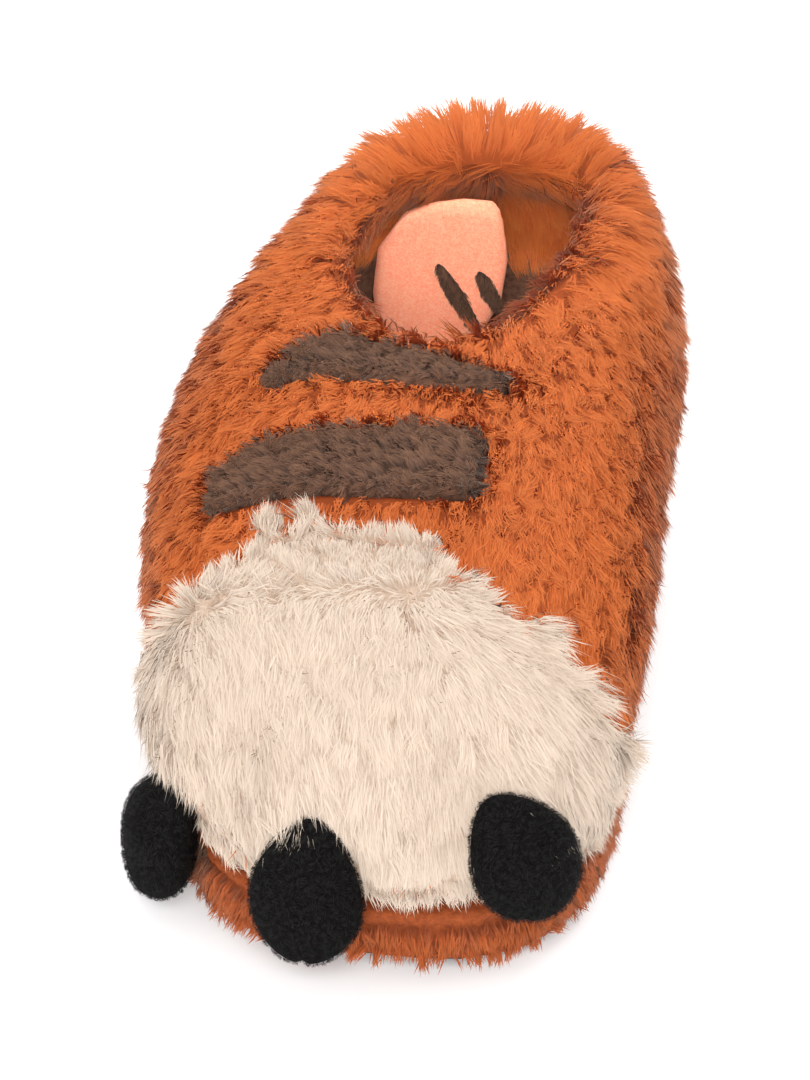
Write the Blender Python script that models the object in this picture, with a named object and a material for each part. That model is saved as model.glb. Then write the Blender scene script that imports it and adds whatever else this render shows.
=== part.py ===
"""A plush slipper shaped as a striped animal's paw, for the right foot.

The slipper stands on its sole with its toes towards -Y and its heel towards +Y. +X is the
inner side of the foot. The origin is on the floor, in the middle of the slipper's length and
width. Fur is part of each solid: a surface lies where the tips of the pile are, and its locks
are low pointed ridges in that surface.
"""

import math

import bmesh
import bpy
import numpy as np
from mathutils import Matrix, Vector
from mathutils.bvhtree import BVHTree

# Sole, from the floor up
SOLE_LENGTH = 0.270
SOLE_WIDTH = 0.131
TOE_SQUARENESS = 0.62
HEEL_SQUARENESS = 0.80
SOLE_BEND = -0.011
SOLE_BEND_AT = 0.025
OUTSOLE_THICK = 0.004
OUTSOLE_INSET = 0.006
MIDSOLE_THICK = 0.020
MIDSOLE_SWELL = 0.005
TOE_SPRING = 0.004
TOE_SPRING_LENGTH = 0.045
INSOLE_THICK = 0.004
INSOLE_MARGIN = 0.004

# Upper, a padded wall of plush from the sole's edge to the collar
FEATHER_INSET = 0.002
WALL = 0.012
COLLAR_WALL = 0.026
SIDE_SWELL = 0.014
UPPER_HEIGHT = 0.089
COLLAR_LENGTH = 0.102
COLLAR_WIDTH = 0.094
COLLAR_SETBACK = 0.083
COLLAR_GATHER = 0.62
COLLAR_INNER_CORNER = 0.84
COLLAR_OUTER_CORNER = 0.95

# Toe cap, claws, stripes and heel tab
CAP_RECESS = 0.004
CAP_SWELL = 0.006
CAP_EDGE = 0.0015
CAP_LIP = 0.003
CAP_SMOOTH_EDGE = 0.20
TOE_CREASE = 0.005
TOE_CREASE_WIDTH = 0.028
CLAW_LENGTH = 0.040
CLAW_WIDTH = 0.032
CLAW_THICK = 0.019
STRIPE_DEPTH = 0.005
STRIPE_RISE = 0.0012
TAB_LENGTH = 0.058
TAB_WIDTH = 0.042
TAB_THICK = 0.005
TAB_TOP = 0.0965
TAB_SIDE = -0.018
TAB_SET_IN = 0.0268

# Pile
LOCK_HEIGHT = 0.0024
CAP_LOCK_HEIGHT = 0.0016
BAND_LOCK_HEIGHT = 0.0010

# Clearances between pieces that touch
GAP = 0.0003
CURVED_GAP = 0.0005

# Steps round the shoe, up a wall, over the collar's roll and down the lining
ROUND_STEPS = 100
SOLE_STEPS = 50
WALL_STEPS = 20
ROLL_STEPS = 4
LINING_STEPS = 6
LINING_TOP = 0.70

# Half widths of the sole, as shares of half of SOLE_WIDTH
OUTLINE_COLUMNS = ("along", "inner", "outer")
OUTLINE = (
    (0.00, 0.98, 0.98),
    (0.30, 1.00, 1.00),
    (0.58, 0.96, 1.00),
    (0.82, 0.98, 0.97),
    (1.00, 1.00, 0.92),
)

# Sections of the upper, from the toe (0) round either side to the heel (1). Each is a curve
# from the sole's edge to the collar with two pulls. swell is in SIDE_SWELL, outwards, and rise,
# shoulder_up and collar are in UPPER_HEIGHT. shoulder_in is in SIDE_SWELL, inwards. roll is the
# collar's thickness in COLLAR_WALL, and lean is how far its roll tips in over the opening
SECTION_COLUMNS = ("at", "swell", "rise", "shoulder_in", "shoulder_up", "collar", "roll", "lean")
SECTIONS = (
    (0.00, 1.0, 0.50, 3.4, 0.63, 0.85, 0.55, 5.0),
    (0.12, 1.1, 0.50, 3.0, 0.64, 0.85, 0.56, 8.0),
    (0.25, 1.6, 0.46, 1.5, 0.71, 0.86, 0.62, 20.0),
    (0.42, 2.2, 0.43, 0.3, 0.80, 0.89, 0.74, 42.0),
    (0.60, 2.2, 0.42, 0.0, 0.82, 0.92, 0.84, 54.0),
    (0.80, 1.7, 0.40, -0.6, 0.80, 0.985, 0.94, 46.0),
    (1.00, 1.4, 0.38, -0.8, 0.77, 1.01, 1.05, 40.0),
)

# Rear edge of the toe cap: how many steps up the wall it reaches at each turn
CAP_COLUMNS = ("at", "steps")
CAP_EDGES = (
    (-0.320, 2.0),
    (-0.295, 6.0),
    (-0.265, 11.0),
    (-0.225, 13.8),
    (-0.170, 14.9),
    (-0.040, 15.3),
    (0.090, 14.5),
    (0.180, 12.8),
    (0.225, 10.0),
    (0.250, 5.5),
    (0.275, 2.0),
)
TOE_CREASES = (-0.125, 0.072)

# Claws: place round the sole's edge, height of the middle, how far it stands out, and turn
CLAW_COLUMNS = ("node", "at", "height", "out", "lean", "size")
CLAWS = (
    ("claw_lateral", -0.180, 0.026, 0.010, 10.0, 1.00),
    ("claw_middle", -0.042, 0.035, 0.008, 0.0, 1.03),
    ("claw_medial", 0.118, 0.046, 0.006, -22.0, 1.00),
)
# Rings of a claw from its rounded tip up to its pointed root, as shares of its sizes
CLAW_RING_COLUMNS = ("along", "width", "thick", "curl")
CLAW_RINGS = (
    (-0.49, 0.26, 0.28, 0.10),
    (-0.42, 0.62, 0.62, 0.06),
    (-0.28, 0.90, 0.90, 0.02),
    (-0.08, 1.00, 1.00, 0.00),
    (0.12, 0.92, 0.98, 0.00),
    (0.30, 0.70, 0.80, -0.04),
    (0.44, 0.40, 0.46, -0.10),
    (0.50, 0.14, 0.18, -0.13),
)
CLAW_SIDES = 12

# Stripes across the instep: middle line and half width, in metres
STRIPE_COLUMNS = ("x", "y", "half")
STRIPE_REAR = (
    (-0.054, 0.006, 0.0020),
    (-0.047, 0.013, 0.0060),
    (-0.038, 0.018, 0.0090),
    (-0.024, 0.019, 0.0080),
    (-0.004, 0.018, 0.0065),
    (0.008, 0.0155, 0.0048),
    (0.018, 0.013, 0.0020),
)
STRIPE_FRONT = (
    (-0.063, -0.034, 0.0060),
    (-0.055, -0.030, 0.0100),
    (-0.040, -0.0245, 0.0120),
    (-0.022, -0.021, 0.0130),
    (-0.004, -0.018, 0.0135),
    (0.009, -0.018, 0.0135),
    (0.015, -0.020, 0.0115),
)
STRIPE_LONG_STEPS = 12
STRIPE_CROSS_STEPS = 3

# Heel tab's edges on its way down, as shares of TAB_LENGTH and TAB_WIDTH
TAB_COLUMNS = ("down", "left", "right")
TAB = (
    (0.00, 0.17, 0.38),
    (0.04, -0.06, 0.43),
    (0.12, -0.27, 0.46),
    (0.35, -0.46, 0.50),
    (0.63, -0.50, 0.45),
    (0.84, -0.46, 0.30),
    (0.95, -0.36, 0.16),
    (1.00, -0.22, 0.04),
)


def read_column(table, columns, name, at):
    """One column of a table, read smoothly at the places that at holds."""
    places = np.array([row[0] for row in table])
    values = np.array([row[columns.index(name)] for row in table])
    slopes = np.gradient(values, places)
    at = np.clip(np.asarray(at, float), places[0], places[-1])
    row = np.clip(np.searchsorted(places, at, side="right") - 1, 0, len(places) - 2)
    span = places[row + 1] - places[row]
    t = (at - places[row]) / span
    return (
        values[row] * (1 + 2 * t) * (1 - t) ** 2
        + slopes[row] * span * t * (1 - t) ** 2
        + values[row + 1] * t * t * (3 - 2 * t)
        + slopes[row + 1] * span * t * t * (t - 1)
    )


def smooth_step(low, high, value):
    """0 below low, 1 above high, and a smooth rise between them."""
    t = np.clip((value - low) / (high - low), 0.0, 1.0)
    return t * t * (3 - 2 * t)


def wrap(turn):
    """A place round the shoe: 0 is the toe, 1 and -1 are the heel, and negative is outside."""
    return (np.asarray(turn, float) + 1.0) % 2.0 - 1.0


def bend(y):
    """How far the middle line lies to the side of the line from toe to heel."""
    ends = np.where(y < SOLE_BEND_AT, SOLE_LENGTH / 2 + SOLE_BEND_AT, SOLE_LENGTH / 2 - SOLE_BEND_AT)
    return SOLE_BEND * np.cos(np.clip((y - SOLE_BEND_AT) / ends, -1, 1) * np.pi / 2) ** 2


def rounded(angle, side):
    """The sole's edge at an angle from the toe, on the inner (1) or outer (-1) side."""
    along = (1 - np.cos(angle)) / 2
    inner = read_column(OUTLINE, OUTLINE_COLUMNS, "inner", along)
    outer = read_column(OUTLINE, OUTLINE_COLUMNS, "outer", along)
    power = TOE_SQUARENESS + (HEEL_SQUARENESS - TOE_SQUARENESS) * smooth_step(0.2, 0.8, along)
    half = np.where(side > 0, inner, outer) * SOLE_WIDTH / 2
    x = side * half * np.abs(np.sin(angle)) ** power
    y = -SOLE_LENGTH / 2 * np.sign(np.cos(angle)) * np.abs(np.cos(angle)) ** power
    return x + bend(y), y


def edge_table(side):
    """Angles and the share of the way round that each has reached."""
    angles = np.linspace(0.0, np.pi, 4001)
    x, y = rounded(angles, side)
    lengths = np.concatenate([[0.0], np.cumsum(np.hypot(np.diff(x), np.diff(y)))])
    return angles, lengths / lengths[-1]


EDGES = {1: edge_table(1), -1: edge_table(-1)}


def outline(turn, inset=0.0):
    """Points of the sole's edge, inset along its normal, at even turns."""
    turn = wrap(turn)

    def on_edge(place):
        place = wrap(place)
        side = np.where(place >= 0, 1, -1)
        inner = np.interp(np.abs(place), EDGES[1][1], EDGES[1][0])
        outer = np.interp(np.abs(place), EDGES[-1][1], EDGES[-1][0])
        return rounded(np.where(side > 0, inner, outer), side)

    x, y = on_edge(turn)
    ahead_x, ahead_y = on_edge(turn + 0.002)
    behind_x, behind_y = on_edge(turn - 0.002)
    run_x, run_y = ahead_x - behind_x, ahead_y - behind_y
    run = np.hypot(run_x, run_y)
    return x - inset * run_y / run, y + inset * run_x / run


def collar_line(turn):
    """Points of the collar's edge above the same turns of the sole's edge."""
    turn = wrap(turn)
    share = np.abs(turn)
    angle = np.pi * np.sign(turn) * ((1 - COLLAR_GATHER) * share + COLLAR_GATHER * share**2)
    corner = np.where(turn >= 0, COLLAR_INNER_CORNER, COLLAR_OUTER_CORNER)
    power = 1 + (corner - 1) * smooth_step(0.35, 0.75, share)
    x = COLLAR_WIDTH / 2 * np.sign(angle) * np.abs(np.sin(angle)) ** power
    y = COLLAR_SETBACK - COLLAR_LENGTH / 2 * np.sign(np.cos(angle)) * np.abs(np.cos(angle)) ** power
    return x + bend(y), y


SOLE_TOP = OUTSOLE_THICK + GAP + MIDSOLE_THICK
UPPER_FOOT = SOLE_TOP + GAP


def upper_surface(turn, up):
    """Smooth outside of the upper. up is 0 at the sole's edge and 1 at the collar."""
    turn, up = np.broadcast_arrays(wrap(turn), np.asarray(up, float))
    share = np.abs(turn)
    foot_x, foot_y = outline(turn, FEATHER_INSET)
    top_x, top_y = collar_line(turn)
    ahead_x, ahead_y = outline(turn, FEATHER_INSET + 0.001)
    in_x, in_y = (ahead_x - foot_x) / 0.001, (ahead_y - foot_y) / 0.001

    def column(name):
        return read_column(SECTIONS, SECTION_COLUMNS, name, share)

    swell = -column("swell") * SIDE_SWELL
    shoulder = column("shoulder_in") * SIDE_SWELL
    weights = ((1 - up) ** 3, 3 * up * (1 - up) ** 2, 3 * up * up * (1 - up), up**3)
    start_x = foot_x + in_x * swell
    start_y = foot_y + in_y * swell
    shoulder_x = foot_x + in_x * shoulder
    shoulder_y = foot_y + in_y * shoulder
    x = weights[0] * foot_x + weights[1] * start_x + weights[2] * shoulder_x + weights[3] * top_x
    y = weights[0] * foot_y + weights[1] * start_y + weights[2] * shoulder_y + weights[3] * top_y
    heights = (0.0, column("rise"), column("shoulder_up"), column("collar"))
    z = UPPER_FOOT + UPPER_HEIGHT * sum(w * h for w, h in zip(weights, heights))
    return np.stack([x, y, z], axis=-1)


def outward(turn, up):
    """Unit normals of the upper's smooth outside."""
    small = 1e-3
    low, high = np.clip(up - small, 0, 1), np.clip(up + small, 0, 1)
    round_it = upper_surface(turn + small, up) - upper_surface(turn - small, up)
    up_it = upper_surface(turn, high) - upper_surface(turn, low)
    normal = np.cross(round_it, up_it)
    return normal / np.linalg.norm(normal, axis=-1, keepdims=True)


def locks(row, column, height):
    """Relief of overlapping locks of pile: three rows long, two columns wide, staggered."""
    step = (row + 1.5 * (column // 2 % 2)) % 3
    side = np.where(column % 2 == 0, 1.0, 0.35)
    return height * side * (1.0 - step / 2.0) - height / 2


def turns_round(steps):
    """Even steps round the shoe, from the heel by its outer side to the toe and back."""
    return np.arange(steps) / steps * 2.0 - 1.0


def cap_steps():
    """How many steps of the wall the toe cap covers in each column of the upper."""
    middle = wrap(turns_round(ROUND_STEPS) + 1.0 / ROUND_STEPS)
    reach = read_column(CAP_EDGES, CAP_COLUMNS, "steps", middle)
    ragged = np.where(np.arange(ROUND_STEPS) % 2 == 0, 0.5, -0.5)
    ragged = ragged * (np.abs(middle) > CAP_SMOOTH_EDGE)
    inside = (middle > CAP_EDGES[0][0]) & (middle < CAP_EDGES[-1][0])
    return np.where(inside, np.round(reach + ragged), 0).astype(int)


def cap_corners():
    """Which points of the upper's wall lie under the toe cap."""
    steps = cap_steps()
    covered = np.zeros((ROUND_STEPS, WALL_STEPS + 1), bool)
    for column, count in enumerate(steps):
        if count:
            covered[column, 1 : count + 1] = True
            covered[(column + 1) % ROUND_STEPS, 1 : count + 1] = True
    return covered


def add_object(name, mesh, colour, roughness):
    """Links a mesh to the scene as a named piece with its own material."""
    piece = bpy.data.objects.new(name, mesh)
    bpy.context.scene.collection.objects.link(piece)
    material = bpy.data.materials.new(name + "_finish")
    material.use_nodes = True
    shader = material.node_tree.nodes["Principled BSDF"]
    shader.inputs["Base Color"].default_value = (*colour, 1.0)
    shader.inputs["Roughness"].default_value = roughness
    mesh.materials.append(material)
    return piece


def mesh_from(name, points, faces):
    """A mesh from an array of points and a list of corners for each face."""
    mesh = bpy.data.meshes.new(name)
    mesh.from_pydata(points.tolist(), [], faces)
    mesh.validate()
    return mesh


def ring_mesh(name, grid):
    """A closed mesh from grid[round, loop], which joins up both ways."""
    rounds, loops = grid.shape[:2]
    index = np.arange(rounds * loops).reshape(rounds, loops).tolist()
    faces = []
    for i in range(rounds):
        here, there = index[i], index[(i + 1) % rounds]
        for j in range(loops):
            k = (j + 1) % loops
            faces += [(here[j], there[j], there[k]), (here[j], there[k], here[k])]
    return mesh_from(name, grid.reshape(-1, 3), faces)


def shell_mesh(name, outside, inside, cells):
    """A closed shell between two grids of points, over the cells that are true."""
    rounds, rows = outside.shape[:2]
    index = np.arange(rounds * rows).reshape(rounds, rows)
    offset = rounds * rows
    faces = []
    edges = {}
    for i, j in zip(*np.nonzero(cells)):
        a, b = int(index[i, j]), int(index[i + 1, j])
        c, d = int(index[i + 1, j + 1]), int(index[i, j + 1])
        faces += [(a, b, c), (a, c, d)]
        faces += [(a + offset, c + offset, b + offset), (a + offset, d + offset, c + offset)]
        for start, end in ((a, b), (b, c), (c, d), (d, a)):
            edges[(start, end)] = True
    for start, end in edges:
        if (end, start) not in edges:
            faces += [(start, start + offset, end + offset), (start, end + offset, end)]
    points = np.concatenate([outside.reshape(-1, 3), inside.reshape(-1, 3)])
    used = np.unique(np.array(faces))
    place = np.full(len(points), -1)
    place[used] = np.arange(len(used))
    return mesh_from(name, points[used], place[np.array(faces)].tolist())


def slab_mesh(name, rings):
    """A closed mesh from rings of equal length, stacked and capped at both ends."""
    count = len(rings[0])
    points = np.concatenate(rings)
    faces = []
    for level in range(len(rings) - 1):
        low, high = level * count, (level + 1) * count
        for i in range(count):
            j = (i + 1) % count
            faces += [(low + i, low + j, high + j), (low + i, high + j, high + i)]
    last = (len(rings) - 1) * count
    for i in range(count // 2):
        near, far = i + 1, count - i - 1
        faces.append((i, far, near))
        faces.append((last + i, last + near, last + far))
        if i > 0:
            faces.append((i, far + 1, far))
            faces.append((last + i, last + far, last + far + 1))
    faces = [face for face in faces if len(set(face)) == 3]
    return mesh_from(name, points, faces)


def toe_spring(y):
    """How far the sole's underside lifts towards the toe."""
    start = -SOLE_LENGTH / 2 + TOE_SPRING_LENGTH
    lift = np.clip((start - y) / TOE_SPRING_LENGTH, 0.0, 1.2)
    return TOE_SPRING * lift**2


def make_outsole():
    """The thin dark walking sole, set in from the plush band."""
    x, y = outline(turns_round(SOLE_STEPS), OUTSOLE_INSET)
    rings = [np.stack([x, y, rise + toe_spring(y)], axis=-1) for rise in (0.0, OUTSOLE_THICK)]
    return add_object("outsole", slab_mesh("outsole", rings), (0.05, 0.045, 0.04), 0.8)


def make_midsole():
    """The foam sole with its plush side band, over the outsole."""
    turn = turns_round(ROUND_STEPS)
    low, high = OUTSOLE_THICK + GAP, SOLE_TOP
    column = np.arange(ROUND_STEPS)
    rings = []
    for row, share in enumerate((0.0, 0.25, 0.65, 1.0)):
        pile = locks(row, column, BAND_LOCK_HEIGHT) * math.sin(math.pi * share)
        x, y = outline(turn, -MIDSOLE_SWELL * math.sin(math.pi * share) - pile)
        z = low + (high - low) * share + toe_spring(y) * (1 - share)
        rings.append(np.stack([x, y, z], axis=-1))
    return add_object("midsole", slab_mesh("midsole", rings), (0.55, 0.16, 0.04), 0.9)


def make_insole():
    """The padded footbed inside the upper."""
    x, y = outline(turns_round(SOLE_STEPS), FEATHER_INSET + WALL + INSOLE_MARGIN)
    rings = [np.stack([x, y, 0 * x + SOLE_TOP + GAP + rise], axis=-1) for rise in (0, INSOLE_THICK)]
    return add_object("insole", slab_mesh("insole", rings), (0.22, 0.15, 0.10), 0.9)


def wall_points():
    """The upper's outside as it is built: locks of pile, and a step under the toe cap."""
    turn = turns_round(ROUND_STEPS)[:, None]
    up = (np.arange(WALL_STEPS + 1) / WALL_STEPS)[None, :]
    skin = upper_surface(turn, up)
    row = np.arange(WALL_STEPS + 1)[None, :] + 0 * turn
    column = np.arange(ROUND_STEPS)[:, None] + 0 * up
    spacing = np.linalg.norm(np.roll(skin, -1, axis=0) - skin, axis=-1)
    relief = locks(row, column, LOCK_HEIGHT) * smooth_step(0.0, 0.1, up)
    relief = relief * smooth_step(0.001, 0.004, spacing)
    relief = np.where(cap_corners(), -CAP_RECESS, relief)
    return skin, outward(turn, up), relief


def make_upper():
    """The hollow plush upper, open at the collar and underneath."""
    skin, normal, relief = wall_points()
    outside = skin + normal * relief[..., None]
    turn = turns_round(ROUND_STEPS)[:, None]
    up = np.linspace(LINING_TOP, 0.0, LINING_STEPS)[None, :]
    inside = upper_surface(turn, up) - outward(turn, up) * WALL
    foot = inside[:, -1:].copy()
    foot[..., 2] = UPPER_FOOT

    share = np.abs(turn)
    roll = read_column(SECTIONS, SECTION_COLUMNS, "roll", share) * COLLAR_WALL
    lean = np.radians(read_column(SECTIONS, SECTION_COLUMNS, "lean", share))
    edge = upper_surface(turn[:, 0], 1.0)
    centre = np.array([float(bend(COLLAR_SETBACK)), COLLAR_SETBACK, 0.0])
    inwards = (centre - edge) * (1.0, 1.0, 0.0)
    inwards = inwards / np.linalg.norm(inwards, axis=-1, keepdims=True)
    upwards = np.array([0.0, 0.0, 1.0])
    inner_edge = edge + roll * (inwards * np.sin(lean) - upwards * np.cos(lean))
    ahead = inwards * np.cos(lean) + upwards * np.sin(lean)
    middle = (outside[:, -1] + inner_edge) / 2
    out = outside[:, -1] - middle
    crest = []
    for step in range(1, ROLL_STEPS + 1):
        angle = math.pi * step / ROLL_STEPS
        crest.append(middle + out * math.cos(angle) + ahead * roll / 2 * math.sin(angle))
    grid = np.concatenate([outside, np.stack(crest, axis=1), inside, foot], axis=1)
    return add_object("upper", ring_mesh("upper", grid), (0.62, 0.20, 0.05), 0.9)


def make_toe_cap():
    """The long cream pile over the toes, padded into three lobes."""
    skin, normal, relief = wall_points()
    turn = turns_round(ROUND_STEPS)[:, None]
    row = np.arange(WALL_STEPS + 1)[None, :]
    up = row / WALL_STEPS
    steps = cap_steps()
    reach = np.maximum(steps, np.roll(steps, 1))[:, None]
    padding = smooth_step(0.0, 6.0, reach - row) * smooth_step(-0.5, 3.0, row)
    ends = smooth_step(0.0, 0.10, turn - CAP_EDGES[0][0])
    ends = ends * smooth_step(0.0, 0.08, CAP_EDGES[-1][0] - turn)
    swell = CAP_EDGE + CAP_SWELL * padding * ends
    for place in TOE_CREASES:
        crease = np.exp(-(((turn - place) / TOE_CREASE_WIDTH) ** 2))
        swell = swell - TOE_CREASE * crease * (1 - smooth_step(0.35, 0.65, up)) * padding
    column = np.arange(ROUND_STEPS)[:, None] + 0 * row
    spacing = np.linalg.norm(np.roll(skin, -1, axis=0) - skin, axis=-1)
    pile = locks(row + 0 * column, column, CAP_LOCK_HEIGHT)
    swell = swell + pile * smooth_step(0.001, 0.005, spacing)
    outside = skin + normal * swell[..., None]
    outside[:, 1, 2] -= CAP_LIP
    inside = skin + normal * (relief + CURVED_GAP)[..., None]
    cells = (row[:, :-1] >= 1) & (row[:, :-1] <= steps[:, None] - 1)
    first = np.nonzero(steps)[0][0]
    last = np.nonzero(steps)[0][-1]
    part = slice(first, last + 2)
    mesh = shell_mesh("toe_cap", outside[part], inside[part], cells[first : last + 1])
    return add_object("toe_cap", mesh, (0.86, 0.76, 0.62), 0.9)


def claw_rings(grow):
    """Rings of a claw that points down, in its own frame, swollen by grow."""
    rings = []
    for along, width, thick, curl in CLAW_RINGS:
        z = along * (CLAW_LENGTH + 2 * grow)
        half_x = width * CLAW_WIDTH / 2 + grow
        half_y = thick * CLAW_THICK / 2 + grow
        angle = np.arange(CLAW_SIDES) / CLAW_SIDES * 2 * np.pi
        x, y = half_x * np.cos(angle), half_y * np.sin(angle) - curl * CLAW_LENGTH
        rings.append(np.stack([x, y, 0 * x + z], axis=-1))
    return rings


def place_claw(rings, at, height, out, lean, size):
    """Turns a claw to face away from the shoe at its place round the toe."""
    (x0, y0), (x1, y1) = outline(at), outline(at, -0.01)
    face = math.atan2(float(x1 - x0), -float(y1 - y0))
    x, y = outline(at, -out)
    turn = Matrix.Rotation(face, 3, "Z") @ Matrix.Rotation(math.radians(lean), 3, "Y")
    middle = np.array([float(x), float(y), height])
    return [ring @ np.array(turn).T * size + middle for ring in rings]


def make_claws(pressed):
    """Three stuffed felt claws, each in a pocket of the pile that it presses into."""
    for node, at, height, out, lean, size in CLAWS:
        rings = place_claw(claw_rings(0.0), at, height, out, lean, size)
        add_object(node, slab_mesh(node, rings), (0.03, 0.03, 0.035), 0.95)
        rings = place_claw(claw_rings(CURVED_GAP), at, height, out, lean, size)
        for piece in pressed:
            name = "pocket_" + node + "_in_" + piece.name
            cut_with(piece, name, slab_mesh(name, rings))


def cut_with(piece, name, mesh):
    """Cuts a hidden solid out of a piece."""
    cutter = bpy.data.objects.new(name, mesh)
    bpy.context.scene.collection.objects.link(cutter)
    cutter.hide_render = True
    cutter.display_type = "WIRE"
    modifier = piece.modifiers.new(name, "BOOLEAN")
    modifier.operation = "DIFFERENCE"
    modifier.solver = "EXACT"
    modifier.object = cutter


def smooth_wall():
    """The upper's outside without its locks, to measure the instep from."""
    turn = turns_round(ROUND_STEPS)[:, None]
    up = np.linspace(0.0, 1.0, 2 * WALL_STEPS + 1)[None, :]
    grid = upper_surface(turn, up)
    rounds, rows = grid.shape[:2]
    faces = []
    for i in range(rounds):
        for j in range(rows - 1):
            k = (i + 1) % rounds
            faces.append((i * rows + j, k * rows + j, k * rows + j + 1, i * rows + j + 1))
    return BVHTree.FromPolygons(grid.reshape(-1, 3).tolist(), faces)


def stripe_grid(wall, table, side_inset, end_inset, rise):
    """A grid of points over a stripe, at a height over the upper's smooth outside."""
    places = np.array([row[0] for row in table])
    reach = np.linspace(places[0] + end_inset, places[-1] - end_inset, STRIPE_LONG_STEPS + 1)
    middle = read_column(table, STRIPE_COLUMNS, "y", reach)
    half = read_column(table, STRIPE_COLUMNS, "half", reach) - side_inset
    across = np.linspace(-1.0, 1.0, STRIPE_CROSS_STEPS + 1)
    grid = np.zeros((len(reach), len(across), 3))
    for i, x in enumerate(reach):
        for j, share in enumerate(across):
            start = Vector((float(x), float(middle[i] + share * half[i]), 1.0))
            point, normal = wall.ray_cast(start, Vector((0, 0, -1)))[:2]
            normal = normal if normal.z > 0 else -normal
            grid[i, j] = point + normal * rise
    return grid


def make_stripe(upper, wall, node, table):
    """A stripe of dark plush, let into a bed in the upper."""
    bed = stripe_grid(wall, table, 0.0, 0.0, -STRIPE_DEPTH)
    top = stripe_grid(wall, table, 0.0, 0.0, 0.008)
    cells = np.ones((STRIPE_LONG_STEPS, STRIPE_CROSS_STEPS), bool)
    cut_with(upper, "bed_" + node, shell_mesh("bed_" + node, top, bed, cells))
    low = stripe_grid(wall, table, CURVED_GAP, CURVED_GAP, -STRIPE_DEPTH + CURVED_GAP)
    high = stripe_grid(wall, table, CURVED_GAP, CURVED_GAP, STRIPE_RISE)
    add_object(node, shell_mesh(node, high, low, cells), (0.09, 0.065, 0.05), 0.9)


def make_tab():
    """The velour tab that hangs from the topline inside the heel."""
    down = np.array([row[0] for row in TAB])
    left = np.array([row[1] for row in TAB]) * TAB_WIDTH
    right = np.array([row[2] for row in TAB]) * TAB_WIDTH
    x = np.concatenate([left, right[::-1]]) + TAB_SIDE
    z = TAB_TOP - TAB_LENGTH * np.concatenate([down, down[::-1]])
    centre = np.array([x.mean(), z.mean()])
    rings = []
    for share, y in ((0.90, 0.5), (1.0, 0.22), (1.0, -0.22), (0.90, -0.5)):
        ring_x = centre[0] + (x - centre[0]) * share
        ring_z = centre[1] + (z - centre[1]) * share
        rings.append(np.stack([ring_x, 0 * x + SOLE_LENGTH / 2 - TAB_SET_IN + y * TAB_THICK, ring_z], axis=-1))
    return add_object("heel_tab", slab_mesh("heel_tab", rings), (0.80, 0.28, 0.20), 0.85)


def clear_scene():
    for thing in list(bpy.data.objects):
        bpy.data.objects.remove(thing)


def centre_all():
    """Puts the origin in the middle of the slipper's length and width."""
    pieces = [thing for thing in bpy.data.objects if not thing.hide_render]
    corners = np.array([corner.co for piece in pieces for corner in piece.data.vertices])
    middle = (corners.min(axis=0) + corners.max(axis=0)) / 2
    for thing in bpy.data.objects:
        thing.data.transform(Matrix.Translation((-middle[0], -middle[1], 0.0)))


def main():
    clear_scene()
    make_outsole()
    midsole = make_midsole()
    make_insole()
    upper = make_upper()
    toe_cap = make_toe_cap()
    make_claws((toe_cap, midsole))
    wall = smooth_wall()
    make_stripe(upper, wall, "stripe_rear", STRIPE_REAR)
    make_stripe(upper, wall, "stripe_front", STRIPE_FRONT)
    make_tab()
    centre_all()


main()
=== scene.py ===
# %% [markdown]
# # A plush paw slipper
#
# The real slipper is a foam sole and a padded upper, covered all over in rust-coloured plush.
# Two dark stripes are let in across the instep, a cream cap of longer pile makes the toes, three
# stuffed felt claws hang from it, and a coral tab of velour is sewn in at the heel.
#
# The CAD solids already have the right forms. What they lack is the pile. Plush is a woven backing
# with thousands of fibres that stand on it in tufts, so each furry piece is made here in two parts:
# a backing, which is the CAD form smoothed and pulled in by the depth of the pile, and the pile
# itself, which is thousands of thin tapered ribbons joined in one mesh.

import math

import bpy
import numpy as np
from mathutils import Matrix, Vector
from mathutils.bvhtree import BVHTree
from mathutils.kdtree import KDTree


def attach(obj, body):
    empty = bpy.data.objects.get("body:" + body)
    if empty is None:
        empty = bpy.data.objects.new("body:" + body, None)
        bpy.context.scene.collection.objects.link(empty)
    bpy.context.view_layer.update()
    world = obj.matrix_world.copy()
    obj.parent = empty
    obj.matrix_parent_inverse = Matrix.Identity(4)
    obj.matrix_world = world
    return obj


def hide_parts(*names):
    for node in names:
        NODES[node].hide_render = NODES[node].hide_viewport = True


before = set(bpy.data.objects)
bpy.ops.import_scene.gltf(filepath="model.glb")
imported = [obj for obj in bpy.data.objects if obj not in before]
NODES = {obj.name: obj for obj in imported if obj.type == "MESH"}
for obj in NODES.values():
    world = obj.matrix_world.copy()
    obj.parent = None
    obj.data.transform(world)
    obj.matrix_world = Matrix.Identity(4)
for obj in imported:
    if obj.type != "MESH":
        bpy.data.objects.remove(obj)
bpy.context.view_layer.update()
print("nodes:", sorted(NODES))

# %% [markdown]
# The CAD nodes arrive as loose triangles. A copy whose doubled points are merged is one closed
# skin again, which can be smoothed, remeshed and pulled in. An operator acts on everything that is
# selected, so a helper selects one object alone.


# %% Copies of the CAD forms
def select_only(piece):
    bpy.ops.object.select_all(action="DESELECT")
    piece.select_set(True)
    bpy.context.view_layer.objects.active = piece


def merged_copy(node, name):
    piece = bpy.data.objects.new(name, NODES[node].data.copy())
    bpy.context.scene.collection.objects.link(piece)
    piece.data.materials.clear()
    select_only(piece)
    bpy.ops.object.mode_set(mode="EDIT")
    bpy.ops.mesh.select_all(action="SELECT")
    bpy.ops.mesh.remove_doubles(threshold=0.00001)
    bpy.ops.object.mode_set(mode="OBJECT")
    bpy.ops.object.shade_smooth()
    return piece


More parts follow.
